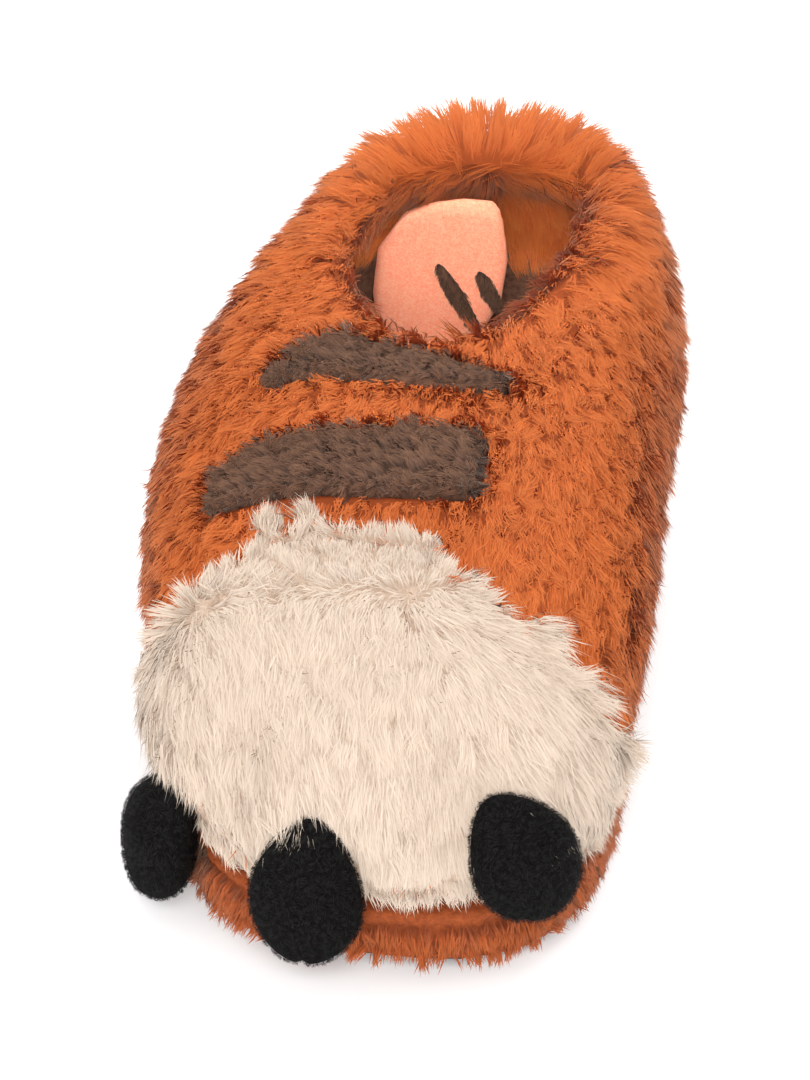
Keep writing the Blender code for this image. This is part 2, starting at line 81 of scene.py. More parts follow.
def apply_modifier(piece, kind, **values):
    select_only(piece)
    modifier = piece.modifiers.new(kind.title(), kind)
    for key, value in values.items():
        setattr(modifier, key, value)
    bpy.ops.object.modifier_apply(modifier=modifier.name)


def even_skin(piece, voxel, rounds):
    select_only(piece)
    piece.data.remesh_voxel_size = voxel
    bpy.ops.object.voxel_remesh()
    apply_modifier(piece, "SMOOTH", factor=0.5, iterations=rounds)
    bpy.ops.object.shade_smooth()


def points_of(piece):
    count = len(piece.data.vertices)
    places = np.empty(count * 3)
    normals = np.empty(count * 3)
    piece.data.vertices.foreach_get("co", places)
    piece.data.vertices.foreach_get("normal", normals)
    return places.reshape(-1, 3), normals.reshape(-1, 3)


def tree_of(*nodes):
    places, faces = [], []
    for node in nodes:
        mesh = NODES[node].data
        start = len(places)
        places += [tuple(v.co) for v in mesh.vertices]
        faces += [[start + i for i in face.vertices] for face in mesh.polygons]
    return BVHTree.FromPolygons(places, faces)


# %% [markdown]
# Which parts of the upper carry pile? All of the outside, the rolled collar, and the first few
# centimetres inside the heel. The rest of the inside is smooth brown lining. A ray sent out from a
# point along its normal tells the two apart: from the outside it leaves, and from the inside it
# meets the opposite wall.

# %% Where the pile grows
UPPER_TREE = tree_of("upper")
COVER_TREE = tree_of("toe_cap", "stripe_front", "stripe_rear", "midsole")
LINING_HEEL = 0.072
LINING_THROAT = 0.030


def share_between(value, low, high):
    return np.clip((value - low) / (high - low), 0, 1)


def looks_inwards(places, normals, skip=0.0035, reach=0.16):
    answer = np.zeros(len(places))
    for i, (place, normal) in enumerate(zip(places, normals)):
        start = Vector(place) + Vector(normal) * skip
        answer[i] = UPPER_TREE.ray_cast(start, Vector(normal), reach)[0] is not None
    return answer


def covered(places, normals, tree, reach):
    answer = np.zeros(len(places), bool)
    for i, (place, normal) in enumerate(zip(places, normals)):
        answer[i] = tree.ray_cast(Vector(place), Vector(normal), reach)[0] is not None
    return answer


def upper_pile(places, normals):
    inside = looks_inwards(places, normals)
    height = share_between(places[:, 2], LINING_HEEL - 0.004, LINING_HEEL + 0.004)
    behind = share_between(places[:, 1], LINING_THROAT - 0.003, LINING_THROAT + 0.003)
    return np.where(inside > 0, height * behind, 1.0)


def store(piece, name, values):
    attribute = piece.data.attributes.new(name, "FLOAT", "POINT")
    attribute.data.foreach_set("value", np.asarray(values, np.float32))


def pull_in(piece, weight, depth):
    places, normals = points_of(piece)
    places = places - normals * (weight * depth)[:, None]
    piece.data.vertices.foreach_set("co", places.ravel())
    piece.data.update()


# %% [markdown]
# The upper's CAD form has a step under the toe cap and a pocket under each stripe. The real backing
# runs on there, so copies of those pieces are joined in, and the voxel remesh makes one skin of all.

# %% Upper's backing
PILE_DEPTH = 0.0060
upper_backing = merged_copy("upper", "upper_backing")
fillers = [merged_copy(node, node + "_filler") for node in ("toe_cap", "stripe_front", "stripe_rear")]
for filler in fillers:
    filler.select_set(True)
upper_backing.select_set(True)
bpy.context.view_layer.objects.active = upper_backing
bpy.ops.object.join()
even_skin(upper_backing, 0.0030, 10)
places, normals = points_of(upper_backing)
weight = upper_pile(places, normals)
store(upper_backing, "pile", weight)
pull_in(upper_backing, weight, PILE_DEPTH)
print("upper backing:", len(upper_backing.data.polygons), "faces")

# %% [markdown]
# The toe cap's backing lies over the upper, so only its outer face is pulled in. The stripes and
# the sole's band are treated the same way, each with its own depth of pile.


# %% Backings of the toe cap, stripes and sole
def faces_node(places, normals, tree, reach):
    return covered(places + normals * 0.0004, normals, tree, reach)


CAP_DEPTH = 0.0045
cap_backing = merged_copy("toe_cap", "toe_cap_backing")
even_skin(cap_backing, 0.0022, 24)
places, normals = points_of(cap_backing)
weight = 1.0 - faces_node(places, normals, UPPER_TREE, 0.008)
store(cap_backing, "pile", weight)
pull_in(cap_backing, weight, CAP_DEPTH)

STRIPE_DEPTH = 0.0038
STRIPE_UP = np.array((0.0, -0.34, 0.94))
stripe_backings = []
for node in ("stripe_front", "stripe_rear"):
    backing = merged_copy(node, node + "_backing")
    even_skin(backing, 0.0014, 3)
    places, normals = points_of(backing)
    weight = share_between(normals @ STRIPE_UP, -0.3, 0.1)
    store(backing, "pile", weight)
    pull_in(backing, weight, STRIPE_DEPTH)
    stripe_backings.append(backing)

BAND_DEPTH = 0.0045
sole_backing = merged_copy("midsole", "sole_backing")
even_skin(sole_backing, 0.0030, 3)
places, normals = points_of(sole_backing)
weight = share_between(0.75 - np.abs(normals[:, 2]), 0.0, 0.2)
weight = weight * (1.0 - faces_node(places, normals, UPPER_TREE, 0.004))
store(sole_backing, "pile", weight)
pull_in(sole_backing, weight, BAND_DEPTH)
for backing in (upper_backing, cap_backing, *stripe_backings, sole_backing):
    print(backing.name, len(backing.data.polygons), "faces")

# %% [markdown]
# Roots are scattered over a backing evenly by area. Each root gets the backing's normal there and
# a lay, the way in which the pile was brushed, which always lies along the surface.


# %% Scatter roots on a backing
def scatter(backing, per_mm2, seed, least=0.5):
    rng = np.random.default_rng(seed)
    mesh = backing.data
    mesh.calc_loop_triangles()
    corners = np.empty(len(mesh.loop_triangles) * 3, np.int32)
    mesh.loop_triangles.foreach_get("vertices", corners)
    corners = corners.reshape(-1, 3)
    places, normals = points_of(backing)
    pile = np.empty(len(mesh.vertices), np.float32)
    mesh.attributes["pile"].data.foreach_get("value", pile)
    a, b, c = (places[corners[:, k]] for k in range(3))
    area = np.linalg.norm(np.cross(b - a, c - a), axis=1) / 2
    area = area * (pile[corners].mean(axis=1) > least)
    count = int(area.sum() * 1e6 * per_mm2)
    pick = rng.choice(len(area), count, p=area / area.sum())
    mix = rng.dirichlet((1, 1, 1), count)[:, :, None]
    root = (places[corners[pick]] * mix).sum(axis=1)
    normal = (normals[corners[pick]] * mix).sum(axis=1)
    normal = normal / np.linalg.norm(normal, axis=1, keepdims=True)
    return root, normal


def unit(vectors):
    return vectors / (np.linalg.norm(vectors, axis=-1, keepdims=True) + 1e-12)


def along_surface(direction, normal):
    flat = direction - normal * (direction * normal).sum(axis=-1, keepdims=True)
    return unit(flat)


def brushed_from(centre, root, normal):
    return along_surface(root - np.array(centre), normal)


# %% [markdown]
# A tuft is a few dozen fibres whose tips stick together. Each fibre is a ribbon of two triangles,
# pointed at both ends, that bends from its root towards the lay. Then it is drawn towards the
# middle of its tuft, more and more to the tip, which opens the dark gaps between the tufts. Combed
# fibres lie lower and longer, and standing ones rise beside an edge. The ribbons' shading normals
# follow the backing, so that the pile is lit as one soft surface.

# %% Grow a pile
STEPS = np.array([0.0, 0.52, 1.0])
SORT_ROW = 0.006
TUFT_LEAN_SPREAD, FIBRE_LEAN_SPREAD, FIBRE_TURN_SPREAD = 0.10, 0.12, 0.18
COMB_STEADIES, COMB_LOWERS, COMB_LENGTHENS = 0.7, 0.45, 0.45
STANDING_LEAN = 66
LOOSE_GATHER = 0.1
RIBBON_ROLL = 0.9


def fibre_lines(root, normal, lay, length, lean, droop):
    s = STEPS[None, :, None]
    rise = (length * np.sin(lean))[:, None, None] * (1.45 * s - 0.45 * s * s) - droop * s * s
    run = (length * np.cos(lean))[:, None, None] * (0.45 * s + 0.55 * s * s)
    return root[:, None] + normal[:, None] * rise + lay[:, None] * run


def grow(name, root, normal, lay, pile, seed, scale=None, comb=None, stand=None, clear=None):
    rng = np.random.default_rng(seed)
    count = len(root)
    order = np.lexsort((root[:, 0], np.round(root[:, 1] / SORT_ROW)))
    root, normal, lay = root[order], normal[order], lay[order]
    scale = np.ones(count) if scale is None else scale[order]
    comb = np.zeros(count) if comb is None else comb[order]
    stand = np.zeros(count) if stand is None else stand[order]

    area = count / pile["per_mm2"]
    tufts = max(4, int(area / pile["tuft"] ** 2))
    middles = rng.choice(count, tufts, replace=False)
    tree = KDTree(tufts)
    for i, m in enumerate(middles):
        tree.insert(root[m], i)
    tree.balance()
    own = np.array([tree.find(place)[1] for place in root])

    tuft_turn = rng.normal(0, pile["stray"], tufts)
    tuft_lean = rng.normal(0, TUFT_LEAN_SPREAD, tufts)
    tuft_tone = rng.normal(0, 1, tufts)
    turn = tuft_turn[own] + rng.normal(0, FIBRE_TURN_SPREAD, count)
    turn = turn * (1 - COMB_STEADIES * comb)
    side = np.cross(normal, lay)
    lay = lay * np.cos(turn)[:, None] + side * np.sin(turn)[:, None]
    lean = pile["lean"] * (1 - COMB_LOWERS * comb)
    lean = np.radians(lean + (STANDING_LEAN - lean) * stand)
    lean = lean + tuft_lean[own] + rng.normal(0, FIBRE_LEAN_SPREAD, count)
    scale = scale * (1 + COMB_LENGTHENS * comb)
    length = pile["length"] * scale * rng.uniform(0.82, 1.08, count)
    lines = fibre_lines(root, normal, lay, length, lean, pile["droop"])

    head = middles[own]
    head_length = pile["length"] * scale[head]
    centre = fibre_lines(root[head], normal[head], lay[head], head_length, lean[head], pile["droop"])
    gather = pile["gather"] * rng.uniform(0.6, 1.15, count)
    gather = np.where(rng.random(count) < pile["loose"], LOOSE_GATHER, gather)
    pull = (gather[:, None] * STEPS[None, :] ** 1.3)[:, :, None]
    lines = lines + (centre - lines) * pull
    lines[:, 1:] += rng.normal(0, pile["curl"], (count, 2, 3)) * STEPS[None, 1:, None]
    if clear is not None:
        lines = clear(lines)

    tangent = unit(lines[:, 2] - lines[:, 0])
    across = unit(np.cross(tangent, normal))
    roll = rng.uniform(-RIBBON_ROLL, RIBBON_ROLL, count)[:, None]
    across = across * np.cos(roll) + np.cross(tangent, across) * np.sin(roll)
    width = pile["width"] * rng.uniform(0.7, 1.3, count)
    half = across * width[:, None] / 2
    points = np.stack([lines[:, 0], lines[:, 1] - half, lines[:, 1] + half, lines[:, 2]], axis=1)

    up = rng.normal(0, pile["glint"], (count, 1, 3))
    shade_normal = unit(normal[:, None] + up + tangent[:, None] * 0.15)
    shade_normal = np.broadcast_to(shade_normal, points.shape)

    tone = tuft_tone[own] * 0.6 + rng.normal(0, 0.8, count)
    # The colour along the fibre is painted shade at the root and painted light at the tip.
    far = np.array([0, 0.52, 0.52, 1.0])
    colour = pile["colour"](points, far[None, :], tone[:, None])
    piece = ribbons(name, points, shade_normal, colour)
    print(name, count, "fibres in", tufts, "tufts")
    return piece


# %% Make the ribbons one mesh
FIBRE_CORNERS = np.array([0, 2, 1, 1, 2, 3])
FIBRE_UV = np.array([[0.5, 0.1], [0.1, 0.5], [0.9, 0.5], [0.5, 0.9]])


def ribbons(name, points, normals, colour):
    count = len(points)
    mesh = bpy.data.meshes.new(name)
    mesh.vertices.add(count * 4)
    mesh.vertices.foreach_set("co", points.astype(np.float32).ravel())
    mesh.loops.add(count * 6)
    corners = (np.arange(count)[:, None] * 4 + FIBRE_CORNERS).ravel()
    mesh.loops.foreach_set("vertex_index", corners.astype(np.int32))
    mesh.polygons.add(count * 2)
    starts = np.arange(count)[:, None] * 6 + np.array([0, 3])
    mesh.polygons.foreach_set("loop_start", starts.astype(np.int32).ravel())
    mesh.update(calc_edges=True)
    mesh.shade_smooth()
    attribute = mesh.attributes.new("tint", "FLOAT_COLOR", "POINT")
    rgba = np.ones((count, 4, 4), np.float32)
    rgba[..., :3] = colour
    attribute.data.foreach_set("color", rgba.ravel())
    cells = math.ceil(math.sqrt(count))
    cell = np.stack([np.arange(count) % cells, np.arange(count) // cells], axis=-1)
    uv = (cell[:, None] + FIBRE_UV) / cells
    layer = mesh.uv_layers.new(name="OFBake")
    layer.data.foreach_set("uv", uv[:, FIBRE_CORNERS].astype(np.float32).ravel())
    mesh.normals_split_custom_set_from_vertices(normals.reshape(-1, 3))
    piece = bpy.data.objects.new(name, mesh)
    bpy.context.scene.collection.objects.link(piece)
    return piece


# %% [markdown]
# The dye is the same along a fibre, but the eye sees the root of a tuft dark, because little light
# gets down there, and the tip pale. The pile casts no shadows here, so that shade and light are
# painted into the colour: each pile has a deep colour of painted shade at the root, a middle colour
# and a tip colour of painted light, mixed along the fibre, with each tuft and each fibre a little
# lighter or darker.


# %% Pile colours
def linear(red, green, blue):
    value = np.array([red, green, blue]) / 255
    return np.where(value <= 0.04045, value / 12.92, ((value + 0.055) / 1.055) ** 2.4)


# Mixes the dye with painted shade at the root and painted light at the tip.
def dye_and_painted_shade(deep, middle, tip, spread):
    def colour(points, far, tone):
        low = share_between(far, 0.0, 0.5)[..., None]
        high = share_between(far, 0.5, 1.0)[..., None]
        mixed = (deep + (middle - deep) * low) * (1 - high) + tip * high
        return np.clip(mixed * (1 + spread * tone)[..., None], 0.001, 0.98)

    return colour


rust = dye_and_painted_shade(linear(140, 60, 22), linear(172, 82, 31), linear(194, 106, 50), 0.06)
# The sole's band is the same rust plush. Its darker colour is painted shade, where the band lies low under
# the upper.
shaded_band = dye_and_painted_shade(linear(118, 48, 17), linear(150, 68, 26), linear(168, 86, 38), 0.06)
cream = dye_and_painted_shade(linear(172, 146, 124), linear(191, 174, 158), linear(204, 188, 172), 0.025)
stripe = dye_and_painted_shade(linear(50, 31, 21), linear(80, 54, 40), linear(116, 82, 62), 0.12)
felt = dye_and_painted_shade(linear(2, 2, 2), linear(7, 6, 6), linear(16, 15, 14), 0.2)

RUST_PILE = dict(
    per_mm2=2.9, tuft=3.6, stray=0.30, lean=37, length=0.0110, width=0.00048,
    gather=0.50, loose=0.12, curl=0.0005, droop=0.0008, glint=0.09, colour=rust,
)
CREAM_PILE = dict(
    per_mm2=3.4, tuft=5.0, stray=0.16, lean=24, length=0.0150, width=0.00042,
    gather=0.42, loose=0.2, curl=0.0005, droop=0.0030, glint=0.08, colour=cream,
)
STRIPE_PILE = dict(
    per_mm2=5.0, tuft=2.6, stray=0.5, lean=50, length=0.0058, width=0.00042,
    gather=0.50, loose=0.12, curl=0.0003, droop=0.0, glint=0.15, colour=stripe,
)
STITCH_PILE = dict(
    per_mm2=14.0, tuft=1.0, stray=0.15, lean=14, length=0.0028, width=0.00026,
    gather=0.3, loose=0.1, curl=0.0001, droop=0.0002, glint=0.2, colour=stripe,
)
FELT_PILE = dict(
    per_mm2=4.5, tuft=1.6, stray=1.5, lean=30, length=0.0017, width=0.00012,
    gather=0.25, loose=0.2, curl=0.0002, droop=0.0, glint=0.3, colour=felt,
)
BAND_PILE = dict(RUST_PILE, per_mm2=2.2, tuft=3.2, length=0.0075, lean=36, colour=shaded_band)

# %% [markdown]
# On the upper the pile was brushed outwards from the root of the heel tab: over the collar, down
# the sides and forward along the instep. Behind the tab it is pressed flat, so it is kept short.

# %% Pile of the upper
TAB_ROOT = (0.008, 0.106, 0.096)
TAB_LEFT, TAB_RIGHT = -0.031, 0.018
TAB_LOW, TAB_HIGH = 0.034, 0.098
BEHIND_TAB_LENGTH = 0.35
COVER_REACH = 0.014
COMB_REACH = 0.045
STAND_REACH = 0.0055
FAR_FROM_STRIPES = 0.03
HEEL_STARTS, MIDDLE = 0.055, -0.012


def upper_lay(root, normal):
    lay = brushed_from(TAB_ROOT, root, normal)
    down = along_surface(np.broadcast_to((0.0, 0.0, -1.0), root.shape), normal)
    steep = share_between(0.085 - root[:, 2], 0.0, 0.05)[:, None] * 0.5
    return along_surface(lay + down * steep, normal)


root, normal = scatter(upper_backing, RUST_PILE["per_mm2"], 11)
keep = ~covered(root, normal, COVER_TREE, COVER_REACH) & ~((root[:, 2] < 0.027) & (normal[:, 2] < -0.5))
root, normal = root[keep], normal[keep]
inward = looks_inwards(root, normal, PILE_DEPTH + 0.0035) > 0
lay = upper_lay(root, normal)
behind_tab = inward & (root[:, 1] > 0.085) & (root[:, 2] > TAB_LOW) & (root[:, 2] < TAB_HIGH)
behind_tab &= (root[:, 0] > TAB_LEFT) & (root[:, 0] < TAB_RIGHT)
scale = np.where(behind_tab, BEHIND_TAB_LENGTH, 1.0)
from_tab = np.linalg.norm(root - np.array(TAB_ROOT), axis=1)
comb = np.exp(-(from_tab / COMB_REACH) ** 2) * ~behind_tab
EDGE_TREE = tree_of("stripe_front", "stripe_rear")
from_edge = [EDGE_TREE.find_nearest(Vector(place), FAR_FROM_STRIPES)[3] for place in root]
from_edge = np.array([distance or FAR_FROM_STRIPES for distance in from_edge])
stand = np.exp(-(from_edge / STAND_REACH) ** 2)
heel = root[:, 1] > HEEL_STARTS
groups = {
    "collar_pile": inward,
    "heel_pile": ~inward & heel,
    "lateral_pile": ~inward & ~heel & (root[:, 0] < MIDDLE),
    "medial_pile": ~inward & ~heel & (root[:, 0] >= MIDDLE),
}
pile_pieces = {}
for seed, (name, chosen) in enumerate(groups.items()):
    roots = (root[chosen], normal[chosen], lay[chosen])
    styles = (scale[chosen], comb[chosen], stand[chosen])
    pile_pieces[name] = grow(name, *roots, RUST_PILE, 21 + seed, *styles)

# %% [markdown]
# The cream pile is longer and silkier. It is combed away from a line across the cap's crown, so it
# hangs over the tops of the claws in front and makes a ragged fringe over the rust pile behind. A
# fibre that would run into a claw is laid over it, or cut short where it would lie too deep.

# %% Pile of the toe cap, stripes and sole band
CLAW_TREE = tree_of("claw_lateral", "claw_middle", "claw_medial")
CLAW_REACH = 0.022
OVER_CLAW = (0.0016, 0.0010)
TOO_DEEP = 0.0055
CUT_SHORT = 0.25
CAP_LOW = (0.036, 0.052)
CAP_REAR = (-0.072, -0.060)


def over_claws(lines):
    for step, height in ((1, OVER_CLAW[0]), (2, OVER_CLAW[1])):
        for i, place in enumerate(lines[:, step]):
            near, out, _, far = CLAW_TREE.find_nearest(Vector(place), 0.014)
            if near is None or (Vector(place) - near).dot(out) > height:
                continue
            lines[i, step] = near + out * height
            if far > TOO_DEEP:
                lines[i] = lines[i, :1] + (lines[i] - lines[i, :1]) * CUT_SHORT
    return lines


CROWN_LEFT = np.array((-0.044, -0.070, 0.070))
CROWN_RIGHT = np.array((0.012, -0.062, 0.078))


def brushed_from_line(start, end, root, normal):
    way = end - start
    share = np.clip((root - start) @ way / (way @ way), 0, 1)
    nearest = start + share[:, None] * way
    return along_surface(root - nearest, normal)


root, normal = scatter(cap_backing, CREAM_PILE["per_mm2"], 12)
keep = ~covered(root, normal, CLAW_TREE, CLAW_REACH)
root, normal = root[keep], normal[keep]
lay = brushed_from_line(CROWN_LEFT, CROWN_RIGHT, root, normal)
low_edge = 0.5 + 0.5 * share_between(root[:, 2], *CAP_LOW)
rear_edge = 1.0 - 0.5 * share_between(root[:, 1], *CAP_REAR)
scale = low_edge * rear_edge
name = "toe_cap_pile"
pile_pieces[name] = grow(name, root, normal, lay, CREAM_PILE, 31, scale, clear=over_claws)

for seed, backing in enumerate(stripe_backings):
    root, normal = scatter(backing, STRIPE_PILE["per_mm2"], 13 + seed)
    outward = unit(normal * (1, 1, 0)) * share_between(0.9 - normal @ STRIPE_UP, 0.0, 0.3)[:, None]
    lay = along_surface(np.array((-0.7, -0.3, 0.0)) + outward * 1.5 + (0.0, 0.0, 0.4), normal)
    name = backing.name.replace("backing", "pile")
    pile_pieces[name] = grow(name, root, normal, lay, STRIPE_PILE, 41 + seed)

root, normal = scatter(sole_backing, BAND_PILE["per_mm2"], 15)
lay = along_surface(unit(normal * (1, 1, 0)) * 0.4 + np.array((0.0, 0.0, -1.0)), normal)
scale = share_between(root[:, 2], 0.002, 0.012) * 0.6 + 0.4
pile_pieces["sole_pile"] = grow("sole_pile", root, normal, lay, BAND_PILE, 51, scale)

# %% [markdown]
# The claws are stuffed felt: two halves sewn together down the middle. The CAD form is rounded by
# subdivision, and the sewn line is pressed in along the middle of each claw.

# %% Claws
claws = []
SEAM_WIDTH = 0.0011
SEAM_DEPTH = 0.0009
for node in ("claw_lateral", "claw_middle", "claw_medial"):
    claw = merged_copy(node, node + "_felt")
    apply_modifier(claw, "SUBSURF", levels=2, render_levels=2)
    places, normals = points_of(claw)
    middle = places.mean(axis=0)
    outward = unit((middle - np.array((0.0, 0.02, middle[2]))) * (1, 1, 0))
    across = np.array((-outward[1], outward[0], 0.0))
    off = (places - middle) @ across
    press = np.exp(-(off / SEAM_WIDTH) ** 2) * share_between((places - middle) @ outward, 0.0, 0.004)
    places = places - normals * (press * SEAM_DEPTH)[:, None]
    claw.data.vertices.foreach_set("co", places.ravel())
    claw.data.update()
    store(claw, "pile", np.ones(len(places)))
    root, normal = scatter(claw, FELT_PILE["per_mm2"], 61)
    lay = along_surface(np.broadcast_to((0.0, 0.0, -1.0), root.shape), normal)
    pile_pieces[node + "_nap"] = grow(node + "_nap", root, normal, lay, FELT_PILE, 62)
    claws.append(claw)
    print(claw.name, len(claw.data.polygons), "faces")

# %% [markdown]
# A fibre that reaches below the floor would show as a cut edge, so the pile stops just above it,
# as real pile bends up there.

# %% Keep the pile off the floor
FLOOR_CLEAR = 0.0012
for piece in pile_pieces.values():
    piece.visible_shadow = False
    places, _ = points_of(piece)
    low = places[:, 2] < FLOOR_CLEAR
    places[low, 2] = FLOOR_CLEAR + 0.2 * np.abs(places[low, 2] - FLOOR_CLEAR)
    piece.data.vertices.foreach_set("co", places.ravel())
    piece.data.update()
    print(piece.name, "lowest", round(float(places[:, 2].min() * 1000), 2), "mm")

# %% [markdown]
# The tab is two layers of short velour. It keeps its CAD form, with its corners rounded. Two
# short embroidered strokes lie side by side on its face, each a raised core under close slanting
# stitches of thread. The core starts as a ball built from arrays, so that its faces come in the
# same order in every run, and with them the threads that are scattered over it.


# %% Tab and its stitched strokes
def ball(name, around=24, rows=16):
    turn = 2 * np.pi * np.arange(around) / around
    fall = np.pi * np.arange(1, rows) / rows
    high = np.repeat(np.cos(fall)[:, None], around, axis=1)
    rings = np.stack([np.outer(np.sin(fall), np.cos(turn)), np.outer(np.sin(fall), np.sin(turn)), high], -1)
    places = rings.reshape(-1, 3) / 2
    top, bottom, last = len(places), len(places) + 1, (rows - 2) * around
    faces = []
    for j in range(around):
        k = (j + 1) % around
        faces.append((top, j, k))
        faces.append((bottom, last + k, last + j))
        faces += [(i + j, i + around + j, i + around + k, i + k) for i in range(0, last, around)]
    mesh = bpy.data.meshes.new(name)
    mesh.from_pydata([*places.tolist(), (0, 0, 0.5), (0, 0, -0.5)], [], faces)
    piece = bpy.data.objects.new(name, mesh)
    bpy.context.scene.collection.objects.link(piece)
    return piece


tab = merged_copy("heel_tab", "heel_tab_velour")
even_skin(tab, 0.0011, 4)
tab_places, _ = points_of(tab)
TAB_FRONT = float(tab_places[:, 1].min())
STROKES = (
    # (x, z) of its start and end, and its width
    ((-0.0075, 0.0740), (0.0050, 0.0510), 0.0046),
    ((0.0052, 0.0725), (0.0118, 0.0590), 0.0042),
)
strokes = []
for number, (start, end, width) in enumerate(STROKES):
    start, end = np.array(start), np.array(end)
    length = float(np.linalg.norm(end - start))
    stroke = ball("stroke_core_" + ("left", "right")[number])
    places, _ = points_of(stroke)
    stitched = 1 + 0.05 * np.cos(places[:, 2] * 120)
    middle = (start + end) / 2
    along = (end - start) / length
    flat_x = places[:, 0] * width * stitched
    flat_z = places[:, 2] * length
    shaped = np.empty_like(places)
    shaped[:, 0] = middle[0] + along[0] * flat_z + along[1] * flat_x
    shaped[:, 2] = middle[1] + along[1] * flat_z - along[0] * flat_x
    shaped[:, 1] = TAB_FRONT + places[:, 1] * 0.0016
    stroke.data.vertices.foreach_set("co", shaped.ravel())
    stroke.data.update()
    select_only(stroke)
    bpy.ops.object.shade_smooth()
    store(stroke, "pile", np.ones(len(shaped)))
    root, normal = scatter(stroke, STITCH_PILE["per_mm2"], 71 + number)
    front = normal[:, 1] < 0.1
    root, normal = root[front], normal[front]
    way = np.array((along[0], 0.0, along[1])) + np.array((0.5 * along[1], 0.0, -0.5 * along[0]))
    lay = along_surface(np.broadcast_to(way, root.shape), normal)
    name = "stroke_threads_" + ("left", "right")[number]
    strokes.append((stroke, grow(name, root, normal, lay, STITCH_PILE, 73 + number)))

# %% [markdown]
# The footbed is a thin padded sheet with a soft rounded edge, and the walking sole a plain dark
# sheet. Both keep their CAD forms, with the edges rounded.

# %% Footbed and walking sole
footbed = merged_copy("insole", "footbed")
even_skin(footbed, 0.0018, 3)
walking_sole = merged_copy("outsole", "walking_sole")
apply_modifier(walking_sole, "BEVEL", width=0.0008, segments=2, limit_method="ANGLE", angle_limit=0.7)
print("footbed", len(footbed.data.polygons), "walking sole", len(walking_sole.data.polygons))

# %% [markdown]
# Fibre, felt and cloth are all matt. The pile's colour comes from the tint stored on each fibre,
# which is its dye with painted shade at the root and painted light at the tip.
# A little sheen on the shader gives the soft pale rim that plush has against the light.


# %% Materials
def new_material(name, roughness, sheen=0.0, sheen_colour=(1, 1, 1)):
    material = bpy.data.materials.new(name)
    material.use_nodes = True
    shader = material.node_tree.nodes["Principled BSDF"]
    shader.inputs["Roughness"].default_value = roughness
    shader.inputs["Specular IOR Level"].default_value = 0.25
    shader.inputs["Sheen Weight"].default_value = sheen
    shader.inputs["Sheen Roughness"].default_value = 0.45
    shader.inputs["Sheen Tint"].default_value = (*sheen_colour, 1)
    return material, material.node_tree, shader


def pile_material(name, sheen, sheen_colour):
    material, tree, shader = new_material(name, 0.75, sheen, sheen_colour)
    tint = tree.nodes.new("ShaderNodeAttribute")
    tint.attribute_name = "tint"
    tree.links.new(tint.outputs["Color"], shader.inputs["Base Color"])
    return material


def noise_node(tree, scale, detail=3.0, rough=0.6):
    where = tree.nodes.new("ShaderNodeTexCoord")
    grain = tree.nodes.new("ShaderNodeTexNoise")
    grain.inputs["Scale"].default_value = scale
    grain.inputs["Detail"].default_value = detail
    grain.inputs["Roughness"].default_value = rough
    tree.links.new(where.outputs["Object"], grain.inputs["Vector"])
    return grain


def fuzzy_cloth():
    group = bpy.data.node_groups.new("fuzzy_cloth", "ShaderNodeTree")
    for name, kind in (("Deep", "Color"), ("Light", "Color"), ("Scale", "Float"), ("Relief", "Float")):
        group.interface.new_socket(name=name, in_out="INPUT", socket_type="NodeSocket" + kind)
    for name, kind in (("Colour", "Color"), ("Normal", "Vector")):
        group.interface.new_socket(name=name, in_out="OUTPUT", socket_type="NodeSocket" + kind)
    inner = group.nodes.new("NodeGroupInput")
    outer = group.nodes.new("NodeGroupOutput")
    grain = noise_node(group, 900.0, 4.0, 0.7)
    group.links.new(inner.outputs["Scale"], grain.inputs["Scale"])
    mix = group.nodes.new("ShaderNodeMix")
    mix.data_type = "RGBA"
    ramp = group.nodes.new("ShaderNodeMapRange")
    ramp.inputs["From Min"].default_value = 0.35
    ramp.inputs["From Max"].default_value = 0.65
    bump = group.nodes.new("ShaderNodeBump")
    bump.inputs["Strength"].default_value = 0.6
    group.links.new(grain.outputs["Fac"], ramp.inputs["Value"])
    group.links.new(ramp.outputs["Result"], mix.inputs["Factor"])
    group.links.new(inner.outputs["Deep"], mix.inputs["A"])
    group.links.new(inner.outputs["Light"], mix.inputs["B"])
    group.links.new(grain.outputs["Fac"], bump.inputs["Height"])
    group.links.new(inner.outputs["Relief"], bump.inputs["Distance"])
    group.links.new(mix.outputs["Result"], outer.inputs["Colour"])
    group.links.new(bump.outputs["Normal"], outer.inputs["Normal"])
    return group


FUZZY_CLOTH = fuzzy_cloth()


def cloth_material(name, deep, light, scale, relief, sheen=0.0):
    material, tree, shader = new_material(name, 0.85, sheen, tuple(light))
    cloth = tree.nodes.new("ShaderNodeGroup")
    cloth.node_tree = FUZZY_CLOTH
    cloth.inputs["Deep"].default_value = (*deep, 1)
    cloth.inputs["Light"].default_value = (*light, 1)
    cloth.inputs["Scale"].default_value = scale
    cloth.inputs["Relief"].default_value = relief
    tree.links.new(cloth.outputs["Colour"], shader.inputs["Base Color"])
    tree.links.new(cloth.outputs["Normal"], shader.inputs["Normal"])
    return material, tree, shader, cloth


